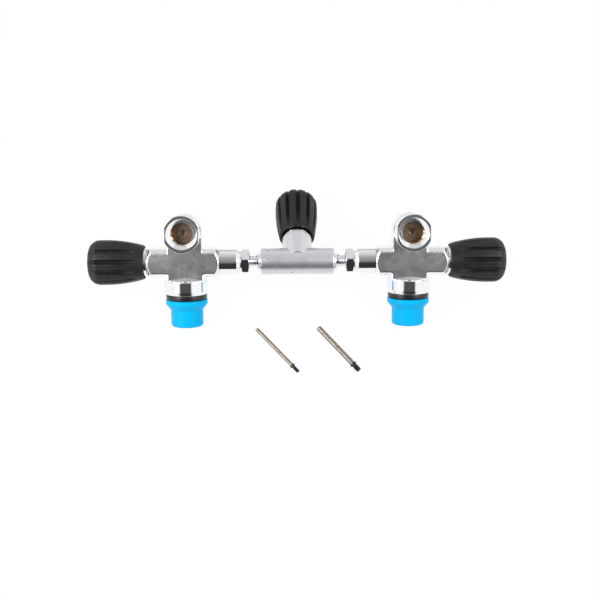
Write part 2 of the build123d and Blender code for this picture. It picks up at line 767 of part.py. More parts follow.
# rest pose: the table touches the back lower corner of both caps and the end
# corner of the middle knob, so it is the common tangent of those two rounds
cap_round = Vector(0, cap_radius - cap_corner, cap_bottom + cap_corner)
knob_round = (branch_axis * (branch_length + knob_high - knob_corner)
              - branch_top * (knob_radius - knob_corner))
between = knob_round - cap_round
recline = atan2(between.Y, between.Z) + asin((knob_corner - cap_corner) / between.length)
axis_height = cap_round.Y * cos(recline) - cap_round.Z * sin(recline) + cap_corner
reclined = Plane(origin=(0, 0, axis_height), x_dir=(1, 0, 0), z_dir=(0, cos(recline), sin(recline)))
laid = {name: solid.moved(reclined.location) for name, solid in upright.items()}
for side, (radius, bore, plain_end, threaded_end) in dip_tubes.items():
    tube, fitting = dip_tube_pair(radius, bore, plain_end, threaded_end)
    laid[f"{side}_dip_tube"] = tube
    laid[f"{side}_dip_tube_fitting"] = fitting

# the frame's origin lies on the table, under the middle of the whole outline
boxes = [solid.bounding_box() for solid in laid.values()]
middle_x = (min(box.min.X for box in boxes) + max(box.max.X for box in boxes)) / 2
middle_y = (min(box.min.Y for box in boxes) + max(box.max.Y for box in boxes)) / 2
centred = Location((-middle_x, -middle_y, 0))
for name, solid in laid.items():
    placed = solid.moved(centred)
    placed.label = name
    export_step(placed, f"parts/{name}.step")


def report(name, point, direction):
    place = (centred * reclined.location * Location(Vector(*point))).position / 1000
    aim = reclined.from_local_coords(Vector(*direction)) - reclined.origin
    print(f"{name}: at ({place.X:.6f}, {place.Y:.6f}, {place.Z:.6f}) m, "
          f"axis ({aim.X:.6f}, {aim.Y:.6f}, {aim.Z:.6f})")


print(f"recline {degrees(recline):.3f} degrees, crossbar axis {axis_height:.3f} mm above the table")
for side, hand in (("right", 1), ("left", -1)):
    report(f"{side} knob", (hand * (arm_end + knob_clearance), 0, 0), (hand, 0, 0))
    report(f"{side} neck", (hand * neck_place, 0, neck_end), (0, 0, -1))
    report(f"{side} outlet", (hand * neck_place, -outlet_front + outlet_depth / 2, outlet_height),
           (0, -1, 0))
report("isolator knob", branch_axis * (branch_length + knob_clearance), branch_axis)
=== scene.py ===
import bmesh
import bpy
import json
from math import atan2, ceil, cos, hypot, pi, radians, sin, sqrt, tan
from mathutils import Matrix, Vector


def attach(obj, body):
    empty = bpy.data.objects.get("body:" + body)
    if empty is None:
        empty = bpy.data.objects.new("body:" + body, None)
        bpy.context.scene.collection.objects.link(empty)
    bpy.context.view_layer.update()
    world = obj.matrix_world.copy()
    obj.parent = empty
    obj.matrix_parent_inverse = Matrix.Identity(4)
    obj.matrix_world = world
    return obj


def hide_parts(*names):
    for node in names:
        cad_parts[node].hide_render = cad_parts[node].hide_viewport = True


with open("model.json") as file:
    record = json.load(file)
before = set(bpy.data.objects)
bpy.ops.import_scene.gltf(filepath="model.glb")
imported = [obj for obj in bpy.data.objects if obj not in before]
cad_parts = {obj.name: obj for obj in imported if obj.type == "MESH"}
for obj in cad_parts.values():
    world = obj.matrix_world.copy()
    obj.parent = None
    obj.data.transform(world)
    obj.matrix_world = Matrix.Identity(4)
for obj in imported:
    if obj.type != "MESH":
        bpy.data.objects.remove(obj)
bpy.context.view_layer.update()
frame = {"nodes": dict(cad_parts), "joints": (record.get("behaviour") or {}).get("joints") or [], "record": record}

# Every piece is built in millimetres in the valve frame and laid down at the end:
# x along the crossbar, y to the back, z up the necks, origin in the middle of the crossbar.
mounts = {mount["name"]: mount for mount in frame["record"]["mounts"]}
joints = {joint["name"]: joint for joint in frame["joints"]}
metre = 1000.0
neckUp = -Vector(mounts["right_neck"]["axis"])
outletBack = -Vector(mounts["right_outlet"]["axis"])
endKnob = Vector(joints["right_knob_turn"]["pos_m"])
barMiddle = Vector((0.0, endKnob.y, endKnob.z))
laidDown = Matrix((Vector((1.0, 0.0, 0.0)), outletBack, neckUp)).transposed().to_4x4()
valveFrame = Matrix.Translation(barMiddle) @ laidDown @ Matrix.Scale(1 / metre, 4)
knobClearance = 2.6                                    # from an end face to its knob's rim
endFace = endKnob.x * metre - knobClearance            # of the outer arms, from the middle
neckPlace = mounts["right_neck"]["pos_m"][0] * metre   # of the neck axes, from the middle
middleKnob = valveFrame.inverted() @ Vector(joints["isolator_knob_turn"]["pos_m"])
branchAxis = middleKnob.normalized()
branchTop = Vector((0.0, -branchAxis.z, branchAxis.y))
branchFace = middleKnob.length - knobClearance         # of the isolator's branch


def aim(origin, zAxis, xAxis):    # matrix from a piece's own frame to the valve frame
    z = Vector(zAxis).normalized()
    x = Vector(xAxis)
    x = (x - z * x.dot(z)).normalized()
    return Matrix.Translation(origin) @ Matrix((x, z.cross(x), z)).transposed().to_4x4()


# Node trees

class Value:    # a socket that sums can be written with
    def __init__(self, tree, socket):
        self.tree, self.socket = tree, socket

    def calc(self, operation, *others):    # one step of arithmetic
        return arithmetic(self.tree, operation, self, *others)

    def __add__(self, other):
        return self.calc("ADD", other)

    def __sub__(self, other):
        return self.calc("SUBTRACT", other)

    def __rsub__(self, other):
        return arithmetic(self.tree, "SUBTRACT", other, self)

    def __mul__(self, other):
        return self.calc("MULTIPLY", other)

    def __truediv__(self, other):
        return self.calc("DIVIDE", other)

    def __rtruediv__(self, other):
        return arithmetic(self.tree, "DIVIDE", other, self)

    def clamped(self):    # kept between 0 and 1
        self.socket.node.use_clamp = True
        return self

    def eased(self, start, stop, low=0.0, high=1.0):    # runs softly from low to high
        return output(self.tree, "ShaderNodeMapRange", {
            "Value": self, "From Min": start, "From Max": stop, "To Min": low, "To Max": high},
            interpolation_type="SMOOTHSTEP")


def addNode(tree, kind, values=None, **settings):    # values are numbers, colours or Values to link
    node = tree.nodes.new(kind)
    for name, setting in settings.items():
        setattr(node, name, setting)
    for key, value in (values or {}).items():
        if isinstance(value, Value):
            tree.links.new(value.socket, node.inputs[key])
        else:
            node.inputs[key].default_value = value
    return node


def output(tree, kind, values=None, **settings):    # the first output of a new node
    return Value(tree, addNode(tree, kind, values, **settings).outputs[0])


def outputs(tree, kind, values=None, **settings):    # all outputs of a new node, by name
    return {socket.name: Value(tree, socket) for socket in addNode(tree, kind, values, **settings).outputs}


def arithmetic(tree, operation, *values):
    return output(tree, "ShaderNodeMath", dict(enumerate(values)), operation=operation)


def combined(tree, x, y, z):
    return output(tree, "ShaderNodeCombineXYZ", {"X": x, "Y": y, "Z": z})


shapeKind, materialKind, vectorKind = "NodeSocketGeometry", "NodeSocketMaterial", "NodeSocketVector"
floatKind, colourKind = "NodeSocketFloat", "NodeSocketColor"
kindOf = {int: "NodeSocketInt", float: floatKind, tuple: colourKind}


def openTree(name, kind, takes, gives):    # takes: each input's default, or its kind if it has none
    tree = bpy.data.node_groups.new(name, kind)
    for label, value in takes.items():
        bare = isinstance(value, str)
        socket = tree.interface.new_socket(label, in_out="INPUT",
                                           socket_type=value if bare else kindOf[type(value)])
        if not bare:
            socket.default_value = value
    for label, socketKind in gives.items():
        tree.interface.new_socket(label, in_out="OUTPUT", socket_type=socketKind)
    return tree, outputs(tree, "NodeGroupInput")


def emptied(owner):    # the empty node tree of a material or a world
    owner.use_nodes = True
    owner.node_tree.nodes.clear()
    return owner.node_tree


# Shared finishes

def fineGrainGroup():    # uneven gloss and a fine relief, for plated, moulded and turned surfaces
    tree, given = openTree("fineGrain", "ShaderNodeTree", {
        "Vector": vectorKind, "Scale": 1500.0, "Low Roughness": 0.2, "High Roughness": 0.3},
        {"Roughness": floatKind, "Height": floatKind})
    fine = output(tree, "ShaderNodeTexNoise", {
        "Vector": given["Vector"], "Scale": given["Scale"], "Detail": 3.0, "Roughness": 0.6})
    broad = output(tree, "ShaderNodeTexNoise", {
        "Vector": given["Vector"], "Scale": given["Scale"] * 0.06, "Detail": 2.0})
    gloss = output(tree, "ShaderNodeMapRange", {
        "Value": fine * 0.45 + broad * 0.55, "From Min": 0.3, "From Max": 0.7,
        "To Min": given["Low Roughness"], "To Max": given["High Roughness"]})
    addNode(tree, "NodeGroupOutput", {"Roughness": gloss, "Height": fine})
    return tree


def mottleGroup():    # two tones that run into each other in soft patches
    tree, given = openTree("mottle", "ShaderNodeTree", {
        "Vector": vectorKind, "Scale": 60.0, "Tone": (1.0, 1.0, 1.0, 1.0), "Patch Tone": (1.0, 1.0, 1.0, 1.0),
        "Cover": 0.5, "Softness": 0.12}, {"Color": colourKind})
    patches = output(tree, "ShaderNodeTexNoise", {
        "Vector": given["Vector"], "Scale": given["Scale"], "Detail": 5.0, "Roughness": 0.62})
    edge = 1.0 - given["Cover"]
    mask = patches.eased(edge - given["Softness"], edge + given["Softness"])
    mix = addNode(tree, "ShaderNodeMix", {0: mask, 6: given["Tone"], 7: given["Patch Tone"]},
                  data_type="RGBA")
    addNode(tree, "NodeGroupOutput", {"Color": Value(tree, mix.outputs[2])})
    return tree


fineGrain = fineGrainGroup()
mottle = mottleGroup()


def finish(name, tones, patches, gloss, grain, metallic=0.0, specular=0.5, sheen=None):
    material = bpy.data.materials.new(name)
    tree = emptied(material)
    spot = outputs(tree, "ShaderNodeTexCoord")["Object"]
    tone = output(tree, "ShaderNodeGroup", {
        "Vector": spot, "Cover": patches[0], "Scale": patches[1], "Tone": (*tones[0], 1.0),
        "Patch Tone": (*tones[1], 1.0)}, node_tree=mottle)
    surface = outputs(tree, "ShaderNodeGroup", {
        "Vector": spot, "Scale": grain[0], "Low Roughness": gloss[0], "High Roughness": gloss[1]},
        node_tree=fineGrain)
    relief = output(tree, "ShaderNodeBump", {
        "Height": surface["Height"], "Strength": grain[1], "Distance": grain[2]})
    shader = output(tree, "ShaderNodeBsdfPrincipled", {
        "Base Color": tone, "Roughness": surface["Roughness"], "Normal": relief, "Metallic": metallic,
        "Specular IOR Level": specular, **(sheen or {})})
    addNode(tree, "ShaderNodeOutputMaterial", {"Surface": shader})
    return material


# tones: the main one and the patches'; patches: their share and scale; gloss: least and most roughness;
# grain: its scale, how strong its relief is and how deep, in metres
looks = {
    "satinChrome": {"tones": ((0.96, 0.96, 0.99), (0.88, 0.85, 0.83)), "patches": (0.42, 260.0),
                    "gloss": (0.20, 0.31), "grain": (1600.0, 0.10, 0.0002), "metallic": 1.0},
    "brightSatin": {"tones": ((0.78, 0.78, 0.81), (0.70, 0.70, 0.73)), "patches": (0.4, 600.0),
                    "gloss": (0.34, 0.46), "grain": (1600.0, 0.3, 0.0002), "metallic": 1.0},
    "polishedChrome": {"tones": ((0.92, 0.92, 0.94), (0.86, 0.86, 0.89)), "patches": (0.35, 140.0),
                       "gloss": (0.05, 0.11), "grain": (700.0, 0.05, 0.0001), "metallic": 1.0},
    "bareBrass": {"tones": ((0.52, 0.37, 0.26), (0.36, 0.26, 0.18)), "patches": (0.45, 160.0),
                  "gloss": (0.22, 0.38), "grain": (1200.0, 0.12, 0.0002), "metallic": 1.0},
    "knobRubber": {"tones": ((0.010, 0.010, 0.011), (0.015, 0.014, 0.017)), "patches": (0.5, 120.0),
                   "gloss": (0.36, 0.48), "grain": (2200.0, 0.35, 0.0002), "specular": 0.33,
                   "sheen": {"Sheen Weight": 0.02, "Sheen Roughness": 0.45,
                             "Sheen Tint": (0.80, 0.78, 0.92, 1.0)}},
    "sealRubber": {"tones": ((0.012, 0.012, 0.013), (0.020, 0.020, 0.021)), "patches": (0.4, 200.0),
                   "gloss": (0.20, 0.34), "grain": (1500.0, 0.1, 0.0001)},
    "hardNylon": {"tones": ((0.030, 0.030, 0.033), (0.042, 0.042, 0.045)), "patches": (0.4, 150.0),
                  "gloss": (0.35, 0.50), "grain": (1500.0, 0.15, 0.0001)},
    "seatNylon": {"tones": ((0.80, 0.78, 0.70), (0.74, 0.71, 0.62)), "patches": (0.4, 150.0),
                  "gloss": (0.35, 0.50), "grain": (1200.0, 0.1, 0.0001)},
    "cyanPlastic": {"tones": ((0.0, 0.44, 0.82), (0.0, 0.42, 0.78)), "patches": (0.5, 80.0),
                    "gloss": (0.30, 0.42), "grain": (900.0, 0.12, 0.0002), "specular": 0.12},
    "springSteel": {"tones": ((0.52, 0.52, 0.53), (0.44, 0.44, 0.46)), "patches": (0.4, 200.0),
                    "gloss": (0.18, 0.30), "grain": (1800.0, 0.1, 0.0001), "metallic": 1.0},
    "drawnTube": {"tones": ((0.34, 0.30, 0.26), (0.25, 0.22, 0.19)), "patches": (0.5, 320.0),
                  "gloss": (0.38, 0.52), "grain": (1500.0, 0.25, 0.0002), "metallic": 1.0},
    "blackFitting": {"tones": ((0.035, 0.035, 0.038), (0.075, 0.072, 0.070)), "patches": (0.35, 400.0),
                     "gloss": (0.25, 0.40), "grain": (1500.0, 0.15, 0.0001), "metallic": 0.6}}
finishes = {name: finish(name, **look) for name, look in looks.items()}
brightSatin = finishes["brightSatin"]    # for the isolator, paler than the end valves
slotLooks = {
    "matte_chrome": "satinChrome", "bright_chrome": "polishedChrome", "bare_brass": "bareBrass",
    "knob_rubber": "knobRubber", "hard_nylon": "hardNylon", "seal_rubber": "sealRubber",
    "seat_nylon": "seatNylon", "cap_plastic": "cyanPlastic", "spring_steel": "springSteel",
    "tube_metal": "drawnTube", "black_fitting": "blackFitting"}
slotFinish = {slot: finishes[name] for slot, name in slotLooks.items()}
for part in frame["record"]["subparts"]:    # the nodes that stay as they are get their finish here
    node = frame["nodes"][part["node"]]
    node.data.materials.clear()
    node.data.materials.append(slotFinish[part["material_slot"]])
print("finishes:", len(slotFinish), "slots dressed")


# Mesh helpers

def rounded(corners, loop=False, steps=4, hold=0.12):
    # corners are (radius, height, round): each becomes an arc with a holding point either side
    points = []
    for index, (radius, height, fillet) in enumerate(corners):
        here = Vector((radius, height))
        if fillet == 0 or (not loop and index in (0, len(corners) - 1)):
            points.append(here)
            continue
        before = Vector(corners[index - 1][:2]) - here
        after = Vector(corners[(index + 1) % len(corners)][:2]) - here
        half = before.angle(after) / 2
        reach = min(fillet / tan(half), before.length * 0.45, after.length * 0.45)
        centre = here + (before.normalized() + after.normalized()).normalized() * (reach / cos(half))
        first = here + before.normalized() * reach - centre
        last = here + after.normalized() * reach - centre
        swing = pi - 2 * half
        if before.length > 2 * (reach + hold):
            points.append(here + before.normalized() * (reach + hold))
        for step in range(steps + 1):
            share = step / steps
            arm = (first * sin((1 - share) * swing) + last * sin(share * swing)) / sin(swing)
            points.append(centre + arm)
        if after.length > 2 * (reach + hold):
            points.append(here + after.normalized() * (reach + hold))
    return [(point.x, point.y) for point in points]


def filled(points, spacing):    # the same outline with points no further apart than spacing
    dense = [points[0]]
    for (radius, height), (nextRadius, nextHeight) in zip(points, points[1:]):
        parts = max(1, ceil(hypot(nextRadius - radius, nextHeight - height) / spacing))
        for step in range(1, parts + 1):
            share = step / parts
            dense.append((radius + (nextRadius - radius) * share, height + (nextHeight - height) * share))
    return dense


def turned(points, segments=96, shape=None, loop=False):
    # a turned shell round z; shape(radius, height, angle) may pull each point in or out
    bm = bmesh.new()
    rings = []
    for radius, height in points:
        if radius < 1e-6:
            rings.append([bm.verts.new((0, 0, height))])
            continue
        ring = []
        for step in range(segments):
            angle = 2 * pi * step / segments
            reach = shape(radius, height, angle) if shape else radius
            ring.append(bm.verts.new((reach * cos(angle), reach * sin(angle), height)))
        rings.append(ring)
    pairs = list(zip(rings, rings[1:]))
    if loop:
        pairs.append((rings[-1], rings[0]))
    for low, high in pairs:
        for step in range(segments):
            turn = (step + 1) % segments
            corners = [low[step % len(low)], low[turn % len(low)],
                       high[turn % len(high)], high[step % len(high)]]
            corners = list(dict.fromkeys(corners))
            if len(corners) > 2:
                bm.faces.new(corners)
    bmesh.ops.recalc_face_normals(bm, faces=bm.faces)
    mesh = bpy.data.meshes.new("turned")
    bm.to_mesh(mesh)
    bm.free()
    return mesh


def ringOf(corners, segments=96, shape=None, steps=4):    # a closed profile, rounded and turned
    return turned(rounded(corners, loop=True, steps=steps), segments, shape, loop=True)


def threadRows(radius, start, spacing, count):    # close rows of points for a thread to be cut in
    return [(radius, start + spacing * step) for step in range(count)]


def moved(mesh, matrix):
    mesh.transform(matrix)
    return mesh


def freed(piece):    # a piece's mesh without its object
    mesh = piece.data
    bpy.data.objects.remove(piece)
    return mesh


def joined(meshes):    # several shells as one mesh
    bm = bmesh.new()
    for mesh in meshes:
        bm.from_mesh(mesh)
        bpy.data.meshes.remove(mesh)
    whole = bpy.data.meshes.new("joined")
    bm.to_mesh(whole)
    bm.free()
    return whole


def linked(name, data):
    piece = bpy.data.objects.new(name, data)
    bpy.context.scene.collection.objects.link(piece)
    return piece


def settled(piece):    # the piece with its modifiers worked into a plain mesh
    graph = bpy.context.evaluated_depsgraph_get()
    mesh = bpy.data.meshes.new_from_object(piece.evaluated_get(graph))
    old = piece.data
    piece.modifiers.clear()
    piece.data = mesh
    bpy.data.meshes.remove(old)
    return piece


def cut(piece, cutters):    # bores the cutters out of the piece
    tool = linked("cutter", joined(cutters))
    hole = piece.modifiers.new("bore", "BOOLEAN")
    hole.operation = "DIFFERENCE"
    hole.solver = "EXACT"
    hole.object = tool
    settled(piece)
    bpy.data.objects.remove(tool)
    return piece


def forged(name, shells, voxel, passes):    # shells run together, with the soft edges of a forging
    piece = linked(name, joined(shells))
    skin = piece.modifiers.new("skin", "REMESH")
    skin.mode = "VOXEL"
    skin.voxel_size = voxel
    soft = piece.modifiers.new("soft", "SMOOTH")
    soft.factor = 0.5
    soft.iterations = passes
    return settled(piece)


def run(piece, tree, sizes):    # works one geometry nodes tree into the piece
    modifier = piece.modifiers.new(tree.name, "NODES")
    modifier.node_group = tree
    for item in tree.interface.items_tree:
        if item.item_type == "SOCKET" and item.in_out == "INPUT" and item.name in sizes:
            modifier[item.identifier] = sizes[item.name]
    return settled(piece)


def place(piece, body, slot, nodes, where=None, material=None, sharp=38.0, base=valveFrame):
    # lays a finished piece down in its place, dresses it and lets it ride on its body
    piece.data.transform(base @ where if where else base)
    piece.data.materials.clear()
    piece.data.materials.append(material or slotFinish[slot])
    for face in piece.data.polygons:
        face.material_index = 0
    piece.data.shade_smooth()
    piece.data.set_sharp_from_angle(angle=radians(sharp))
    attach(piece, body)
    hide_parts(*nodes)
    return piece


def sided(mesh, hand):    # a right hand mesh, made its own left hand copy where hand is -1
    if hand == -1:
        mesh.transform(Matrix.Scale(-1, 4, Vector((1, 0, 0))))
        mesh.flip_normals()
    return mesh


hands = (("right", 1), ("left", -1))


# Geometry nodes

def shapeTree(name, takes):    # a tree that takes sizes and a material, and gives a shape
    return openTree(name, "GeometryNodeTree", {**takes, "Material": materialKind}, {"Geometry": shapeKind})


def closeTree(shape, given):    # realize, set the material and put out
    tree = shape.tree
    whole = output(tree, "GeometryNodeRealizeInstances", {0: shape})
    dressed = output(tree, "GeometryNodeSetMaterial", {"Geometry": whole, "Material": given["Material"]})
    addNode(tree, "NodeGroupOutput", {0: dressed})
    return tree


def polar(tree):    # a point's place, radius and angle round z
    x, y, z = outputs(tree, "ShaderNodeSeparateXYZ", {0: output(tree, "GeometryNodeInputPosition")}).values()
    return x, y, z, (x * x + y * y).calc("SQRT").calc("MAXIMUM", 1e-4), y.calc("ARCTAN2", x)


def drawnIn(shape, x, y, z, radius, inset):    # every point goes towards z by its inset
    share = (radius - inset) / radius
    spot = combined(shape.tree, x * share, y * share, z)
    return output(shape.tree, "GeometryNodeSetPosition", {"Geometry": shape, "Position": spot})


def knobFluteTree():    # flutes with their ends in the crown, and moulding lines between them
    tree, given = shapeTree("knobFlutes", {
        "Geometry": shapeKind, "Count": 12, "Flute Radius": 1.9, "Floor Radius": 19.75, "Rise": 0.044,
        "Belly": 38.0, "Top": 55.0, "Crown Depth": 1.3, "Crown Rise": 7.0, "Crown Fall": 3.5,
        "Crown Hub": 9.5, "Lip": 1.1, "Least Width": 0.05, "Sharp": 1.6, "Line Depth": 0.3,
        "Line Width": 0.5, "Line Low": 20.0, "Line High": 50.0, "Line Rise": 6.0, "Line Fall": 5.0,
        "Line Hub": 16.5})
    x, y, z, radius, angle = polar(tree)
    belly, top, fluteRadius = given["Belly"], given["Top"], given["Flute Radius"]
    halfSector = 2 * pi / given["Count"] / 2.0
    backSector = halfSector * -1.0
    across = (angle.calc("WRAP", halfSector, backSector) * radius).calc("ABSOLUTE")
    floor = given["Floor Radius"] + (z - belly) * given["Rise"]
    crownEnd = z.eased(top - given["Crown Fall"], top, 1.0, 0.0)
    crownSpan = z.eased(belly, belly + given["Crown Rise"]) * crownEnd
    crown = crownSpan * (radius.calc("GREATER_THAN", given["Crown Hub"]) * given["Crown Depth"])
    depth = (radius - floor).calc("MAXIMUM", crown)
    shallow = depth.calc("MINIMUM", fluteRadius)
    chord = shallow * fluteRadius * 2.0 - shallow * shallow
    width = chord.calc("SQRT") * given["Lip"] + given["Least Width"]
    share = (across / width).calc("MINIMUM", 1.0)
    flute = depth * given["Sharp"] * (1.0 - share * share)
    lineOff = ((angle + halfSector).calc("WRAP", halfSector, backSector) * radius).calc("ABSOLUTE")
    line = (1.0 - lineOff / given["Line Width"]).clamped()
    low, high = given["Line Low"], given["Line High"]
    lineSpan = z.eased(low, low + given["Line Rise"]) * z.eased(high, high + given["Line Fall"], 1.0, 0.0)
    reach = lineSpan * (radius.calc("GREATER_THAN", given["Line Hub"]) * given["Line Depth"])
    return closeTree(drawnIn(given["Geometry"], x, y, z, radius, flute + line * reach), given)


def screwThreadTree():    # crest and slope are shares of half a pitch
    tree, given = shapeTree("screwThread", {
        "Geometry": shapeKind, "Pitch": 2.0, "Depth": 1.0, "Low": 0.0, "High": 10.0, "Crest": 0.12,
        "Slope": 0.76})
    x, y, z, radius, angle = polar(tree)
    pitch = given["Pitch"]
    swing = ((z / pitch - angle / (2 * pi)).calc("FRACT") * 2.0 - 1.0).calc("ABSOLUTE")
    flank = ((swing - given["Crest"]) / given["Slope"]).clamped()
    runIn = ((z - given["Low"]) / pitch).clamped()
    runOut = ((given["High"] - z) / pitch).clamped()
    inset = flank * given["Depth"] * (runIn * runOut)
    return closeTree(drawnIn(given["Geometry"], x, y, z, radius, inset), given)


def spannerPitTree():
    tree, given = shapeTree("spannerPits", {
        "Geometry": shapeKind, "Count": 8, "Pit Radius": 0.9, "Pit Depth": 1.5, "Ring Radius": 12.5,
        "Height": 0.0, "Clock": 0.0})
    points = output(tree, "GeometryNodePoints", {"Count": given["Count"]})
    turn = given["Clock"] + output(tree, "GeometryNodeInputIndex") * (2 * pi / given["Count"])
    spot = combined(tree, turn.calc("COSINE") * given["Ring Radius"],
                    turn.calc("SINE") * given["Ring Radius"], given["Height"])
    spread = output(tree, "GeometryNodeSetPosition", {"Geometry": points, "Position": spot})
    lean = output(tree, "FunctionNodeEulerToRotation", {0: combined(tree, 0.0, pi / 2, turn)})
    drill = output(tree, "GeometryNodeMeshCylinder", {
        "Vertices": 20, "Radius": given["Pit Radius"], "Depth": given["Pit Depth"] * 2.0})
    drills = output(tree, "GeometryNodeInstanceOnPoints", {
        "Points": spread, "Instance": drill, "Rotation": lean})
    bored = output(tree, "GeometryNodeMeshBoolean", {
        "Mesh 1": given["Geometry"], "Mesh 2": output(tree, "GeometryNodeRealizeInstances", {0: drills})},
        operation="DIFFERENCE", solver="EXACT")
    return closeTree(bored, given)


def coilTree():
    tree, given = shapeTree("knobSpring", {
        "Turns": 3.0, "Coil Radius": 5.2, "Wire Radius": 0.55, "Height": 5.7, "Foot": 0.0})
    coil = output(tree, "GeometryNodeCurveSpiral", {
        "Resolution": 40, "Rotations": given["Turns"], "Start Radius": given["Coil Radius"],
        "End Radius": given["Coil Radius"], "Height": given["Height"]})
    section = output(tree, "GeometryNodeCurvePrimitiveCircle", {
        "Resolution": 14, "Radius": given["Wire Radius"]})
    wire = output(tree, "GeometryNodeCurveToMesh", {
        "Curve": coil, "Profile Curve": section, "Fill Caps": True})
    raised = output(tree, "GeometryNodeSetPosition", {
        "Geometry": wire, "Offset": combined(tree, 0.0, 0.0, given["Foot"])})
    return closeTree(raised, given)


knobFlutes, screwThread = knobFluteTree(), screwThreadTree()
spannerPits, knobSpring = spannerPitTree(), coilTree()
print("node trees: four")


# Knobs

knob = {"length": 53.0, "end": (21.6, 16.2), "middle": (20.9, 17.3), "belly": 36.0, "corner": 11.0,
        "skirt": 15.0, "skirtDepth": 10.55, "mouth": 8.0, "core": 12.0, "coreLength": 33.0,
        "fluteDepth": 2.3, "fluteRise": 1.6, "lineReach": (14.0, 47.0), "segments": 384,
        "rowSpacing": 0.8, "endClock": 8.5, "middleClock": 4.0}    # end and middle: belly and rim radius
fluting = {"Count": 12, "Flute Radius": 2.0, "Crown Depth": 1.3, "Crown Rise": 7.0, "Crown Fall": 3.5,
           "Crown Hub": 9.5, "Lip": 1.1, "Least Width": 0.05, "Sharp": 1.6, "Line Depth": 0.30,
           "Line Width": 0.55, "Line Rise": 6.0, "Line Fall": 5.0, "Line Hub": 16.5}


def gripBlank(radius, rim):    # the rubber before it is fluted, as one closed profile turned round
    low, belly, corner = knobClearance, knob["belly"], knob["corner"]
    high = low + knob["length"]
    coreLow = low + knob["skirtDepth"]
    coreHigh = coreLow + knob["coreLength"]
    swell = radius - rim
    sideRadius = (swell ** 2 + belly ** 2) / (2 * swell)
    outside = [(knob["skirt"], low + 2, 0), (knob["skirt"], low, 0.35), (rim, low, 0.5)]
    for step in range(11, -1, -1):
        drop = belly * step / 12
        outside.append((radius - sideRadius + sqrt(sideRadius ** 2 - drop ** 2), low + belly - drop, 0))
    for step in range(11):
        turn = pi / 2 * step / 10
        outside.append((radius - corner * (1 - cos(turn)), high - corner * (1 - sin(turn)), 0))
    outside += [(knob["mouth"], high, 0.9), (knob["mouth"], coreHigh + 1, 0)]
    inside = [(knob["mouth"], coreHigh), (knob["core"], coreHigh), (knob["core"], coreLow),
              (knob["skirt"], coreLow)]
    return turned(filled(rounded(outside), knob["rowSpacing"]) + inside, knob["segments"], loop=True)


def clocked(degrees):    # a direction round the crossbar, from the front up
    return 0, -cos(radians(degrees)), sin(radians(degrees))


knobPlaces = {side: aim((hand * endFace, 0, 0), (hand, 0, 0), clocked(knob["endClock"]))
              for side, hand in hands}
clock = radians(knob["middleClock"])
knobPlaces["isolator"] = aim(branchAxis * branchFace, branchAxis,
                             branchTop * cos(clock) + Vector((sin(clock), 0, 0)))
blanks = {shape: gripBlank(*knob[shape]) for shape in ("end", "middle")}
for side, where in knobPlaces.items():
    shape = "middle" if side == "isolator" else "end"
    piece = run(linked(f"{side}_fluted_grip", blanks[shape].copy()), knobFlutes, {
        **fluting, "Floor Radius": knob[shape][0] - knob["fluteDepth"],
        "Rise": knob["fluteRise"] / knob["belly"], "Belly": knobClearance + knob["belly"],
        "Top": knobClearance + knob["length"], "Line Low": knobClearance + knob["lineReach"][0],
        "Line High": knobClearance + knob["lineReach"][1], "Material": slotFinish["knob_rubber"]})
    place(piece, f"{side}_knob", "knob_rubber", [f"{side}_knob_grip"], where, sharp=60.0)
print("knobs: three fluted grips")

# Nuts and springs

knobNut = {"low": 43.5, "high": 48.5, "acrossFlats": 10.0, "bore": 2.95, "lowChamfer": (0.7, 0.4),
           "highChamfer": (0.7, 0.4)}
bonnet = {"bore": 4.05, "collar": 13.6, "height": 7.0, "chamfer": 1.2, "shank": 8.95, "foot": -13.0,
          "pocket": 7.1, "roof": -7.0}
bonnetHead = {"low": bonnet["height"] - 0.1, "high": bonnet["height"] + 5.0, "acrossFlats": 22.0,
              "bore": bonnet["bore"], "lowChamfer": (0.1, 0.05), "highChamfer": (1.4, 0.8)}
spring = {"Turns": 3.0, "Coil Radius": 5.2, "Wire Radius": 0.55, "Height": 5.7, "Foot": 36.75}
lockNut = {"low": 45.7, "high": 53.7, "acrossFlats": 22.5, "bore": 6.05, "lowChamfer": (3.2, 1.6),
           "highChamfer": (1.6, 0.8)}
nutFace = {"end": 55.0, "radius": 10.0, "overlap": 0.1, "clock": 15.0}
cornerTrim = 0.985    # how far out a hexagon's corners reach


def hexagon(low, high, acrossFlats, bore, lowChamfer, highChamfer):
    # a hexagon nut with a corner on the x axis and turned chamfers
    corner = acrossFlats / 2 / cos(pi / 6)
    (lowIn, lowRise), (highIn, highDrop) = lowChamfer, highChamfer
    rows = [(bore, low), (corner - lowIn, low)]
    rows += [(corner - lowIn * (1 - step / 6), low + lowRise * step / 6) for step in range(1, 7)]
    rows += [(corner - highIn * step / 6, high - highDrop * (1 - step / 6)) for step in range(7)]
    rows += [(bore, high)]
    flat = pi / 3

    def sixSided(radius, height, angle):
        return min(radius, cornerTrim * corner, acrossFlats / 2 / cos(angle % flat - flat / 2))
    return turned(rows, shape=sixSided, loop=True)


def bonnetCollar(bore, collar, height, chamfer, shank, foot, pocket, roof):
    return ringOf([(bore, height, 0), (collar - chamfer, height, 0.3), (collar, height - chamfer, 0.4),
                   (collar, 0, 0.25), (shank, 0, 0), (shank, foot, 0.4), (pocket, foot, 0), (pocket, roof, 0),
                   (bore, roof, 0)])


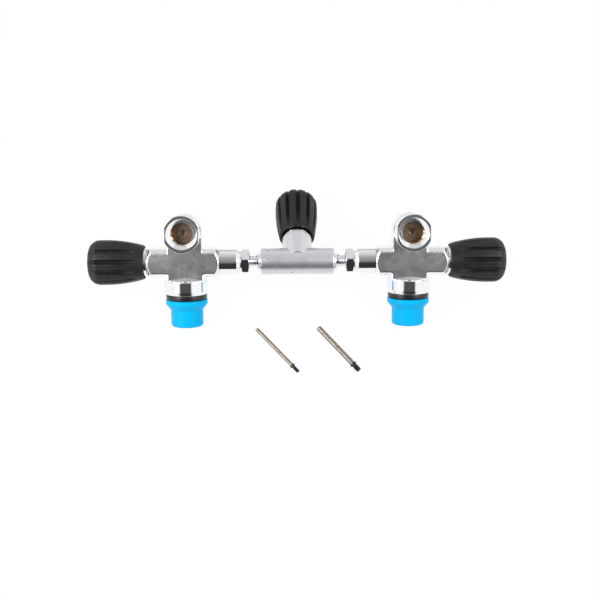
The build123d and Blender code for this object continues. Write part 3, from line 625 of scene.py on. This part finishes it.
for side, where in knobPlaces.items():
    place(linked(f"{side}_end_nut", hexagon(**knobNut)), f"{side}_knob", "bright_chrome",
          [f"{side}_knob_nut"], where, sharp=25.0)
    coil = run(linked(f"{side}_coil_spring", bpy.data.meshes.new("coil")), knobSpring,
               {**spring, "Material": slotFinish["spring_steel"]})
    place(coil, f"{side}_knob", "spring_steel", [f"{side}_knob_spring"], where)
    place(linked(f"{side}_bonnet", joined([bonnetCollar(**bonnet), hexagon(**bonnetHead)])), "manifold",
          "bright_chrome", [f"{side}_bonnet_nut"], where, sharp=30.0)
alongBar = aim((0, 0, 0), (1, 0, 0), (0, -1, 0))    # for turned pieces on the crossbar
nutPlace = aim((0, 0, 0), (1, 0, 0), clocked(nutFace["clock"]))
for side, hand in hands:
    seat = lockNut["high"] - nutFace["overlap"]
    washerFace = ringOf([(lockNut["bore"], seat, 0), (nutFace["radius"], seat, 0),
                         (nutFace["radius"], nutFace["end"], 0.2), (lockNut["bore"], nutFace["end"], 0)])
    whole = sided(moved(joined([hexagon(**lockNut), washerFace]), nutPlace), hand)
    place(linked(f"{side}_bar_nut", whole), "manifold", "bright_chrome", [f"{side}_lock_nut"], sharp=25.0)
print("nuts: knob nuts, bonnets and lock nuts")

# Crossbar tubes and the isolator

tube = {"end": 55.0, "joint": 75.0, "radius": 12.2, "chamfer": 2.2, "chamferLength": 3.4, "spigot": 8.0,
        "tip": 88.0, "bore": 2.8, "socketRadius": 6.05, "socketEnd": 70.0, "grooves": (79.0, 84.0),
        "grooveWidth": 1.8, "grooveDepth": 1.2}
barrel = {"radius": 12.5, "halfLength": 39.6, "chamfer": 5.0, "joint": 24.0, "shankRadius": 9.0,
          "shankEnd": 12.0, "bore": 2.8, "inset": 0.15, "branchRadius": 14.2, "voxel": 0.45, "softening": 6,
          "pitRadius": 0.9, "pitDepth": 1.5, "bleedPlace": -5.0, "bleedAngle": 52.0}
stub = {"radius": 6.0, "tip": 69.0, "pitch": 1.25, "depth": 0.65, "lead": 0.6, "threadEnd": 47.0,
        "rowSpacing": 0.125, "rows": 60}
ringPits = {"Count": 8, "Pit Radius": barrel["pitRadius"], "Pit Depth": barrel["pitDepth"],
            "Ring Radius": barrel["radius"], "Height": 28.2, "Clock": radians(-17.5)}
cavity = {"gland": 11.1, "glandDepth": 1.7, "shank": 9.0, "shankLength": 13.0, "thread": 6.85, "chamber": 7.2,
          "chamberTop": 20.5, "floor": 25.5, "ring": 3.2, "seat": 24.5}
slack = 0.05    # between a hole in a forging and the piece that lines it


def valveCavity(gland, glandDepth, shank, shankLength, thread, chamber, chamberTop, floor, ring, seat):
    # what an end face is bored out for: bonnet, spindle and seat
    return turned([(0, 1), (gland, 1), (gland, -glandDepth), (shank, -glandDepth), (shank, -shankLength),
                   (thread, -shankLength), (thread, -chamberTop), (chamber, -chamberTop), (chamber, -floor),
                   (ring, -floor), (ring, -seat), (0, -seat)], 64)


def crossbarTube(end, joint, radius, chamfer, chamferLength, spigot, tip, bore, socketRadius, socketEnd,
                 grooves, grooveWidth, grooveDepth):
    half, floor = grooveWidth / 2, spigot - grooveDepth
    corners = [(socketRadius, end, 0), (radius - chamfer, end, 0.3), (radius, end + chamferLength, 0.5),
               (radius, joint, 0), (spigot, joint, 0)]
    for groove in grooves:
        corners += [(spigot, groove - half, 0), (floor, groove - half, 0), (floor, groove + half, 0),
                    (spigot, groove + half, 0)]
    corners += [(spigot, tip, 0.5), (bore, tip, 0), (bore, socketEnd, 0), (socketRadius, socketEnd, 0)]
    return ringOf(corners, 128)


def barrelEnd(name):    # polished cone and threaded stub at one end of the barrel
    high = barrel["halfLength"]
    low = high - barrel["chamfer"]
    radius, bore, crest, tip = barrel["radius"], barrel["bore"], stub["radius"], stub["tip"]
    root, start = crest - stub["depth"], high + stub["lead"]
    cone = rounded([(bore, low, 0), (radius - 0.8, low, 0), (radius, low, 0.12),
                    (radius - barrel["chamfer"], high, 0.35), (root, high, 0.1), (root, high + 0.5, 0)])
    end = [(crest, tip - 1), (crest - 1, tip), (bore, tip)]
    rows = threadRows(crest, start, stub["rowSpacing"], stub["rows"])
    return run(linked(name, turned(cone + rows + end, 128, loop=True)), screwThread, {
        "Pitch": stub["pitch"], "Depth": stub["depth"], "Low": start, "High": stub["threadEnd"],
        "Material": slotFinish["bright_chrome"]})


for side, hand in hands:
    place(linked(f"{side}_bar_tube", sided(moved(crossbarTube(**tube), alongBar), hand)), "manifold",
          "bright_chrome", [f"{side}_crossbar_tube"], sharp=40.0)
    end = barrelEnd(f"{side}_barrel_cone")
    end.data = sided(moved(end.data, alongBar), hand)
    place(end, "manifold", "bright_chrome", ["isolator_body" if hand == 1 else "isolator_end_ring"],
          sharp=40.0)


def isolatorForging():    # barrel and branch run together
    radius, inset, joint = barrel["radius"], barrel["inset"], -barrel["joint"]
    cone, tip = barrel["halfLength"] - barrel["chamfer"], barrel["halfLength"] - 3 * inset
    end = joint - 3
    bar = turned([(0, end), (radius, end), (radius, cone - inset), (radius - barrel["chamfer"] + inset, tip),
                  (0, tip)], 160)
    branch = turned(rounded([(0, 0, 0), (barrel["branchRadius"], 0, 0),
                             (barrel["branchRadius"], branchFace, 0.8), (0, branchFace, 0)]), 160)
    along = aim((0, 0, 0), branchAxis, (1, 0, 0))
    piece = forged("isolator_forging", [moved(bar, alongBar), moved(branch, along)],
                   barrel["voxel"], barrel["softening"])
    bleed = radians(barrel["bleedAngle"])
    out = Vector((0, -cos(bleed), -sin(bleed)))
    hole = turned([(0, -barrel["pitDepth"]), (barrel["pitRadius"], -barrel["pitDepth"]),
                   (barrel["pitRadius"], 1), (0, 1)], 24)
    start = aim(Vector((barrel["bleedPlace"], 0, 0)) + out * radius, out, (1, 0, 0))
    top = aim(branchAxis * branchFace, branchAxis, (1, 0, 0))
    piece = cut(piece, [moved(hole, start), moved(valveCavity(**cavity), top)])
    shank, shankEnd = barrel["shankRadius"] + slack, 0.5 - barrel["shankEnd"]
    # the last cutter squares off the end and bores it for the end ring's shank
    beyond = turned([(0, end - 2), (radius + 3, end - 2), (radius + 3, joint), (shank, joint),
                     (shank, shankEnd), (0, shankEnd)], 64)
    return cut(piece, [moved(beyond, alongBar)])


def endRing():    # left end of the barrel with its ring of spanner pits; the end lies inside the cone
    radius, shank, bore, joint = barrel["radius"], barrel["shankRadius"], barrel["bore"], barrel["joint"]
    cone, tip = barrel["halfLength"] - barrel["chamfer"], barrel["halfLength"] - 1.2
    band = ringOf([(bore, barrel["shankEnd"], 0), (shank, barrel["shankEnd"], 0.4), (shank, joint, 0),
                   (radius, joint, 0.06), (radius, cone, 0), (radius - 0.4, cone, 0), (shank - 1, tip, 0),
                   (bore, tip, 0)], 160)
    ring = run(linked("isolator_end_band", band), spannerPits, {**ringPits, "Material": brightSatin})
    ring.data = sided(moved(ring.data, alongBar), -1)
    return ring


place(isolatorForging(), "manifold", "matte_chrome", ["isolator_body"], material=brightSatin)
place(endRing(), "manifold", "matte_chrome", ["isolator_end_ring"], material=brightSatin)
print("crossbar: tubes, barrel, branch and end ring")

# Valve bodies

arm = {"start": 75.0, "startRadius": 12.2, "innerCone": 6.0, "outerCone": 6.5, "outerRadius": 12.2,
       "halfDepth": 13.0, "halfHeight": 13.4, "corner": 3.5}
block = {"halfWidth": 17.9, "top": 8.0, "corner": 1.2}
flange = {"radius": 21.3, "top": -17.6, "shoulderRadius": 20.4, "shoulder": -16.3, "coneRadius": 12.0,
          "coneTop": -14.1, "bottom": -27.3, "footRadius": 19.8, "foot": -30.6}
neck = {"reliefRadius": 11.2, "reliefFoot": -35.7, "threadRadius": 12.5, "threadDepth": 1.15, "pitch": 2.0,
        "end": -57.0, "bore": 3.5, "socketRadius": 4.0, "socketDepth": 10.0, "rowSpacing": 0.16}
outlet = {"height": 30.6, "front": 38.5, "ringRadius": 17.5, "ringLength": 9.0, "flat": 15.55,
          "mouthRadius": 14.3, "mouthDepth": 2.6, "crestRadius": 10.4, "lip": (0.9, 1.5, 1.6),
          "threadRadius": 11.46, "threadDepth": 1.1, "pitch": 1.814, "rowSpacing": 0.14, "depth": 17.0,
          "portRadius": 2.5, "portDepth": 8.0, "wall": 0.8}
boss = {"radius": 16.3, "back": 10.0, "backRound": 5.0, "blank": 20.0}
forging = {"voxel": 0.5, "softening": 7, "bossFront": 31.0}
outletFrame = aim((neckPlace, 0, outlet["height"]), (0, -1, 0), (1, 0, 0))
neckFrame = aim((neckPlace, 0, 0), (0, 0, 1), (1, 0, 0))
outletFloor = outlet["front"] - outlet["depth"]
outletMouth = outlet["front"] - outlet["mouthDepth"]


def barShape(half, otherHalf, corner):    # outline of a rectangular bar with cut corners
    across = half + otherHalf - corner

    def outline(radius, height, angle):
        along, over = max(abs(cos(angle)), 1e-6), max(abs(sin(angle)), 1e-6)
        return min(radius, half / along, otherHalf / over, across / (along + over))
    return outline


def armShell():
    full = hypot(arm["halfDepth"], arm["halfHeight"])
    rows = [(0, arm["start"]), (arm["startRadius"], arm["start"]),
            (full, arm["start"] + arm["innerCone"]), (full, endFace - arm["outerCone"]),
            (arm["outerRadius"], endFace), (0, endFace)]
    shape = barShape(arm["halfDepth"], arm["halfHeight"], arm["corner"])
    return moved(turned(filled(rows, 0.6), 192, shape), alongBar)


def blockShell():    # as deep as the arms, and flush with them
    full = hypot(block["halfWidth"], arm["halfDepth"])
    shape = barShape(block["halfWidth"], arm["halfDepth"], block["corner"])
    return moved(turned([(0, block["top"]), (full, block["top"]), (full, flange["top"]), (0, flange["top"])],
                        192, shape), neckFrame)


def bossShell():    # round top, sides straight down to the arm, back edge rounded, front flush with the arm
    middle = outlet["height"] / 2

    def stadium(radius, height, angle):
        side, rise = max(abs(cos(angle)), 1e-6), sin(angle)
        reach = boss["radius"] / side
        if rise > 0 and reach * rise > middle:
            reach = middle * rise + sqrt(boss["radius"] ** 2 - (middle * cos(angle)) ** 2)
        if rise < 0:
            reach = min(reach, middle / -rise)
        return max(reach - (boss["blank"] - radius), 0.01)
    rows = [(0, boss["back"])]
    for step in range(9):
        turn = pi / 2 * step / 8
        rows.append((boss["blank"] - boss["backRound"] * (1 - sin(turn)),
                     boss["back"] - boss["backRound"] * (1 - cos(turn))))
    rows += [(boss["blank"], -arm["halfDepth"]), (0, -arm["halfDepth"])]
    stem = moved(turned(rows, 192, stadium), aim((neckPlace, 0, middle), (0, 1, 0), (-1, 0, 0)))
    front = moved(turned([(0, 0), (outlet["flat"], 0), (outlet["flat"], forging["bossFront"]),
                          (0, forging["bossFront"])], 160), outletFrame)
    return joined([stem, front])


def valveForging():
    piece = forged("valve_forging", [armShell(), blockShell(), bossShell()],
                   forging["voxel"], forging["softening"])
    wall = outlet["wall"] + slack
    liner, port = outlet["threadRadius"] + wall, outlet["portRadius"] + wall
    deep, beyond = outletFloor - outlet["portDepth"] - wall, outlet["front"] + 5
    socket = turned([(0, deep), (port, deep), (port, outletFloor - wall), (liner, outletFloor - wall),
                     (liner, beyond), (0, beyond)], 96)
    spigot = turned([(0, tube["joint"] - 1), (tube["spigot"] + slack, tube["joint"] - 1),
                     (tube["spigot"] + slack, tube["tip"] + 0.5), (0, tube["tip"] + 0.5)], 64)
    bore = turned([(0, 1), (neck["bore"], 1), (neck["bore"], flange["top"] - 1), (0, flange["top"] - 1)], 48)
    end = aim((endFace, 0, 0), (1, 0, 0), (0, -1, 0))
    return freed(cut(piece, [moved(socket, outletFrame), moved(spigot, alongBar), moved(bore, neckFrame),
                             moved(valveCavity(**cavity), end)]))


def outletRing():    # wide front ring with two flats and a turned mouth
    front, back = outlet["front"], outlet["front"] - outlet["ringLength"]
    flat, thread = outlet["flat"], outlet["threadRadius"] + 0.1
    lipTop, lipFoot, lipBack = (outletMouth - step for step in outlet["lip"])

    def flatted(radius, height, angle):
        return min(radius, flat / max(abs(cos(angle)), 1e-6)) if radius > flat else radius
    return moved(ringOf([
        (thread, back - 0.5, 0), (flat - 0.4, back - 0.5, 0), (flat + 0.05, back, 0),
        (outlet["ringRadius"], back, 0.5), (outlet["ringRadius"], front, 0.6),
        (outlet["mouthRadius"], front, 0.35), (outlet["crestRadius"], lipTop, 0.2),
        (outlet["crestRadius"], lipFoot, 0.1), (thread, lipBack, 0)], 192, flatted), outletFrame)


def outletLiner():    # bare brass socket with its G 5/8 thread, floor and gas port
    floor, wall, thread, port = outletFloor, outlet["wall"], outlet["threadRadius"], outlet["portRadius"]
    mouth = outletMouth + 0.1
    deep = floor - outlet["portDepth"]
    back = [(0, deep - wall), (port + wall, deep - wall), (port + wall, floor - wall),
            (thread + wall, floor - wall), (thread + wall, mouth - 0.3)]
    rows = threadRows(thread, mouth, -outlet["rowSpacing"], int((mouth - floor) / outlet["rowSpacing"]))
    front = rounded([(thread, floor + 0.2, 0), (thread, floor, 0), (port, floor, 0.3), (port, deep, 0),
                     (0, deep, 0)])
    piece = run(linked("outlet_socket", turned(back + rows + front, 144)), screwThread, {
        "Pitch": outlet["pitch"], "Depth": outlet["threadDepth"], "Low": floor + 1.5, "High": mouth,
        "Material": slotFinish["bare_brass"]})
    return moved(freed(piece), outletFrame)


def neckFlange(radius, top, shoulderRadius, shoulder, coneRadius, coneTop, bottom, footRadius, foot):
    bore = neck["bore"]
    return moved(ringOf([
        (bore, coneTop, 0), (coneRadius, coneTop, 0), (shoulderRadius, shoulder, 0.5), (radius, top, 0.5),
        (radius, bottom, 0.5), (footRadius, foot, 0.3), (bore, foot, 0)], 160), neckFrame)


def neckSpigot():    # M25 x 2 thread, under the cap
    relief, thread, bore = neck["reliefRadius"], neck["threadRadius"], neck["bore"]
    high, low, spacing = neck["reliefFoot"], neck["end"], neck["rowSpacing"]
    top = [(bore, flange["foot"] + 1.5), (relief, flange["foot"] + 1.5), (relief, high), (thread, high)]
    rows = threadRows(thread, high - 0.05, -spacing, int((high - low - 1.2) / spacing))
    foot = [(thread, low + 1), (thread - 1, low), (neck["socketRadius"], low),
            (neck["socketRadius"], low + neck["socketDepth"]), (bore, low + neck["socketDepth"])]
    piece = run(linked("neck_spigot", turned(top + rows + foot, 128, loop=True)), screwThread, {
        "Pitch": neck["pitch"], "Depth": neck["threadDepth"], "Low": low + 0.6, "High": high,
        "Material": slotFinish["bright_chrome"]})
    return moved(freed(piece), neckFrame)


cap = {"top": -36.0, "bore": 12.6, "flangeRadius": 20.2, "flangeHeight": 4.5, "coneHeight": 5.5,
       "radius": 15.6, "floor": -60.3, "bottom": -62.5, "corner": 2.5}
seal = {"inner": 11.22, "radius": 19.8, "top": -30.6, "foot": -35.7, "edge": 1.4}


def threadCap(top, bore, flangeRadius, flangeHeight, coneHeight, radius, floor, bottom, corner):
    cone = top - flangeHeight
    return moved(turned(rounded([
        (0, floor, 0), (bore, floor, 1.0), (bore, top, 0.3), (flangeRadius, top, 0.7),
        (flangeRadius, cone, 0.9), (radius, cone - coneHeight, 1.4), (radius, bottom, corner),
        (0, bottom, 0)], steps=6), 160), neckFrame)


def neckRing(inner, radius, top, foot, edge):
    return moved(ringOf([(inner, top, 0.3), (radius, top, edge), (radius, foot, edge), (inner, foot, 0.3)],
                        128, steps=6), neckFrame)


def sidePair(master, label, body, slot, node):    # a right hand mesh and its mirror image, each placed
    for side, hand in hands:
        place(linked(f"{side}_{label}", sided(master.copy(), hand)), f"{side}_cap" if body == "cap" else body,
              slot, [f"{side}_{node}"])


sidePair(valveForging(), "valve_forging", "manifold", "matte_chrome", "valve_body")
sidePair(outletRing(), "outlet_ring", "manifold", "bright_chrome", "valve_body")
sidePair(outletLiner(), "outlet_socket", "manifold", "bare_brass", "valve_body")
sidePair(neckFlange(**flange), "neck_flange", "manifold", "bright_chrome", "valve_body")
sidePair(neckSpigot(), "neck_spigot", "manifold", "bright_chrome", "valve_body")
sidePair(neckRing(**seal), "neck_ring", "manifold", "seal_rubber", "neck_seal")
sidePair(threadCap(**cap), "cap_cup", "cap", "cap_plastic", "thread_cap")
print("valves: forgings, outlets, necks and caps")

# Dip tubes, loose on the table

dipTubes = {
    "left": {"radius": 1.85, "bore": 1.15, "plainEnd": (-40.4, -54.2), "threadedEnd": (0.2, -98.7)},
    "right": {"radius": 2.6, "bore": 1.8, "plainEnd": (20.6, -53.6), "threadedEnd": (59.2, -98.1)}}
dipEnd = {"collarHeight": 0.6, "collar": 2.2, "groove": 1.2, "grooveDepth": 0.5, "thread": 6.0, "shank": 5.0,
          "pitch": 0.7, "threadDepth": 0.32, "chamfer": 0.6, "rowSpacing": 0.07, "play": 0.02}
tableFrame = Matrix.Translation((barMiddle.x, barMiddle.y, 0)) @ Matrix.Scale(1 / metre, 4)
for side, sizes in dipTubes.items():
    radius, bore = sizes["radius"], sizes["bore"]
    plain, threaded = Vector((*sizes["plainEnd"], 0)), Vector((*sizes["threadedEnd"], 0))
    length = (threaded - plain).length
    tubeLength = length - dipEnd["collar"] - dipEnd["groove"] - dipEnd["thread"]
    tilt = dipEnd["collarHeight"] / tubeLength    # the collar holds its end up
    lie = aim(plain + Vector((0, 0, radius)),
              (threaded - plain).normalized() + Vector((0, 0, tilt)), (0, 0, 1))
    wall = ringOf([(bore, 0, 0.15), (radius, 0, 0.25), (radius, tubeLength, 0.1), (bore, tubeLength, 0)], 64)
    groove = tubeLength + dipEnd["collar"]
    screw = groove + dipEnd["groove"]
    collar, waist = radius + dipEnd["collarHeight"], radius - dipEnd["grooveDepth"]
    shank, foot, chamfer = bore - dipEnd["play"], tubeLength - dipEnd["shank"], dipEnd["chamfer"]
    start = rounded([(bore / 2, foot, 0), (shank, foot, 0), (shank, tubeLength, 0), (collar, tubeLength, 0.2),
                     (collar, groove, 0.2), (waist, groove, 0.1), (waist, screw - 0.1, 0)])
    spacing = dipEnd["rowSpacing"]
    rows = threadRows(radius, screw, spacing, int((dipEnd["thread"] - chamfer) / spacing))
    tip = [(radius, length - chamfer), (radius - chamfer, length), (bore / 2, length)]
    fitting = run(linked(f"{side}_dip_end", turned(start + rows + tip, 72, loop=True)), screwThread, {
        "Pitch": dipEnd["pitch"], "Depth": dipEnd["threadDepth"], "Low": screw, "High": length - chamfer,
        "Material": slotFinish["black_fitting"]})
    place(linked(f"{side}_dip_pipe", wall), "manifold", "tube_metal", [f"{side}_dip_tube"], lie,
          base=tableFrame)
    place(fitting, "manifold", "black_fitting", [f"{side}_dip_tube_fitting"], lie, base=tableFrame)
print("dip tubes: two")

# Camera, floor, lights and surroundings

view = {"distance": 950.0, "lookDown": 10.22, "yaw": 1.07, "roll": -0.30, "target": (2.3, 0.0, -38.24),
        "lens": 58.6, "sensor": 36.0, "nearest": 0.01, "farthest": 20.0}


def photoCamera():    # placed in the valve frame, then laid down with it
    down, yaw, roll = radians(view["lookDown"]), radians(view["yaw"]), radians(view["roll"])
    ahead = Vector((sin(yaw) * cos(down), cos(yaw) * cos(down), -sin(down)))
    right = ahead.cross(Vector((0, 0, 1))).normalized()
    top = right.cross(ahead)
    rolledRight = right * cos(roll) + top * sin(roll)
    rolledTop = top * cos(roll) - right * sin(roll)
    data = bpy.data.cameras.new("photoCamera")
    data.lens, data.sensor_width, data.sensor_fit = view["lens"], view["sensor"], "HORIZONTAL"
    data.clip_start, data.clip_end = view["nearest"], view["farthest"]
    camera = linked("photoCamera", data)
    spin = Matrix((rolledRight, rolledTop, -ahead)).transposed()
    spot = valveFrame @ (Vector(view["target"]) - ahead * view["distance"])
    camera.matrix_world = Matrix.Translation(spot) @ (laidDown.to_3x3() @ spin).to_4x4()
    bpy.context.scene.camera = camera


floorSizes = {"width": 1.3, "front": 0.36, "back": 0.9, "whiteness": 0.97, "tone": 0.82,
              "fadeStart": 0.15, "fadeEnd": 0.28, "farTone": 0.45}    # metal sees the far floor grey


def whiteFloor():
    front, back, half = -floorSizes["front"], floorSizes["back"], floorSizes["width"] / 2
    mesh = bpy.data.meshes.new("floor")
    mesh.from_pydata([(-half, front, 0), (half, front, 0), (half, back, 0), (-half, back, 0)],
                     [], [(0, 1, 2, 3)])
    floor = linked("floor", mesh)
    material = bpy.data.materials.new("whiteFloor")
    tree = emptied(material)
    ray = outputs(tree, "ShaderNodeLightPath")
    seen = (ray["Is Camera Ray"] + (ray["Is Glossy Ray"] + ray["Is Transmission Ray"])).clamped()
    matt = output(tree, "ShaderNodeBsdfDiffuse", {"Color": (*(floorSizes["tone"],) * 3, 1)})
    spot = outputs(tree, "ShaderNodeTexCoord")["Object"]
    fade = outputs(tree, "ShaderNodeSeparateXYZ", {0: spot})["Y"].eased(
        floorSizes["fadeStart"], floorSizes["fadeEnd"], 1.0, floorSizes["farTone"])
    glow = output(tree, "ShaderNodeEmission", {"Strength": ray["Is Camera Ray"].calc("MAXIMUM", fade)})
    mix = output(tree, "ShaderNodeMixShader", {0: seen * floorSizes["whiteness"], 1: matt, 2: glow})
    addNode(tree, "ShaderNodeOutputMaterial", {"Surface": mix})
    floor.data.materials.append(material)


# how bright the surroundings look in metal, by the angle up from the front horizon of the valves: white
# underneath, a dark gap low at the front, paler up to behind the top, grey low behind, then white again
studio = {"plain": 0.56, "white": 1.0, "sideStart": 0.42, "sideEnd": 0.56,
          "stops": ((-67.0, 1.0), (-63.0, 0.03), (-15.0, 0.04), (-10.0, 0.07), (-6.0, 0.16), (0.0, 0.20),
                    (10.0, 0.28), (20.0, 0.33), (38.0, 0.38), (62.0, 0.62), (80.0, 0.72), (105.0, 0.88),
                    (113.0, 0.84), (119.0, 0.60), (135.0, 0.50), (150.0, 0.84), (165.0, 1.0))}
valveTilt = atan2(outletBack.z, outletBack.y)    # from the table's level to the valve frame's


def studioWorld():
    world = bpy.data.worlds.new("studio")
    bpy.context.scene.world = world
    tree = emptied(world)
    world.cycles.sampling_method = "NONE"
    ray = outputs(tree, "ShaderNodeLightPath")
    leaned = output(tree, "ShaderNodeVectorRotate", {
        "Vector": outputs(tree, "ShaderNodeTexCoord")["Generated"], "Angle": -valveTilt},
        rotation_type="X_AXIS")
    x, y, z = outputs(tree, "ShaderNodeSeparateXYZ", {0: leaned}).values()
    around = z.calc("ARCTAN2", y * -1.0) / (2 * pi) + 0.5
    ramp = addNode(tree, "ShaderNodeValToRGB", {0: around})
    stops = ramp.color_ramp.elements
    for stop, position in zip(stops, (0.0, 1.0)):
        stop.position, stop.color = position, (studio["white"],) * 3 + (1,)
    for angle, tone in studio["stops"]:
        stops.new((angle + 180) / 360).color = (tone, tone, tone, 1)
    aside = x.calc("ABSOLUTE").eased(studio["sideStart"], studio["sideEnd"])
    reflected = Value(tree, ramp.outputs[0]) * (1.0 - aside) + aside * studio["white"]
    mirrorRay = (ray["Is Glossy Ray"] + ray["Is Transmission Ray"]).clamped()
    lit = (1.0 - mirrorRay) * studio["plain"] + mirrorRay * reflected
    sky = output(tree, "ShaderNodeBackground", {
        "Color": (1, 1, 1, 1), "Strength": lit.calc("MAXIMUM", ray["Is Camera Ray"])})
    addNode(tree, "ShaderNodeOutputWorld", {"Surface": sky})


lamps = {"left": {"at": (-0.55, -0.15, 0.55), "size": 0.45, "power": 4.0},
         "right": {"at": (0.55, -0.10, 0.60), "size": 0.45, "power": 3.0}}


def softLamps():
    for name, lamp in lamps.items():
        data = bpy.data.lights.new(f"{name}Lamp", "AREA")
        data.shape, data.size, data.energy = "SQUARE", lamp["size"], lamp["power"]
        light = linked(f"{name}Lamp", data)
        light.location = lamp["at"]
        light.rotation_mode = "QUATERNION"
        light.rotation_quaternion = (-Vector(lamp["at"])).to_track_quat("-Z", "Y")


photoCamera()
whiteFloor()
studioWorld()
softLamps()
bpy.context.scene.view_settings.view_transform = "Standard"
print("studio: camera, floor, surroundings and two lamps")
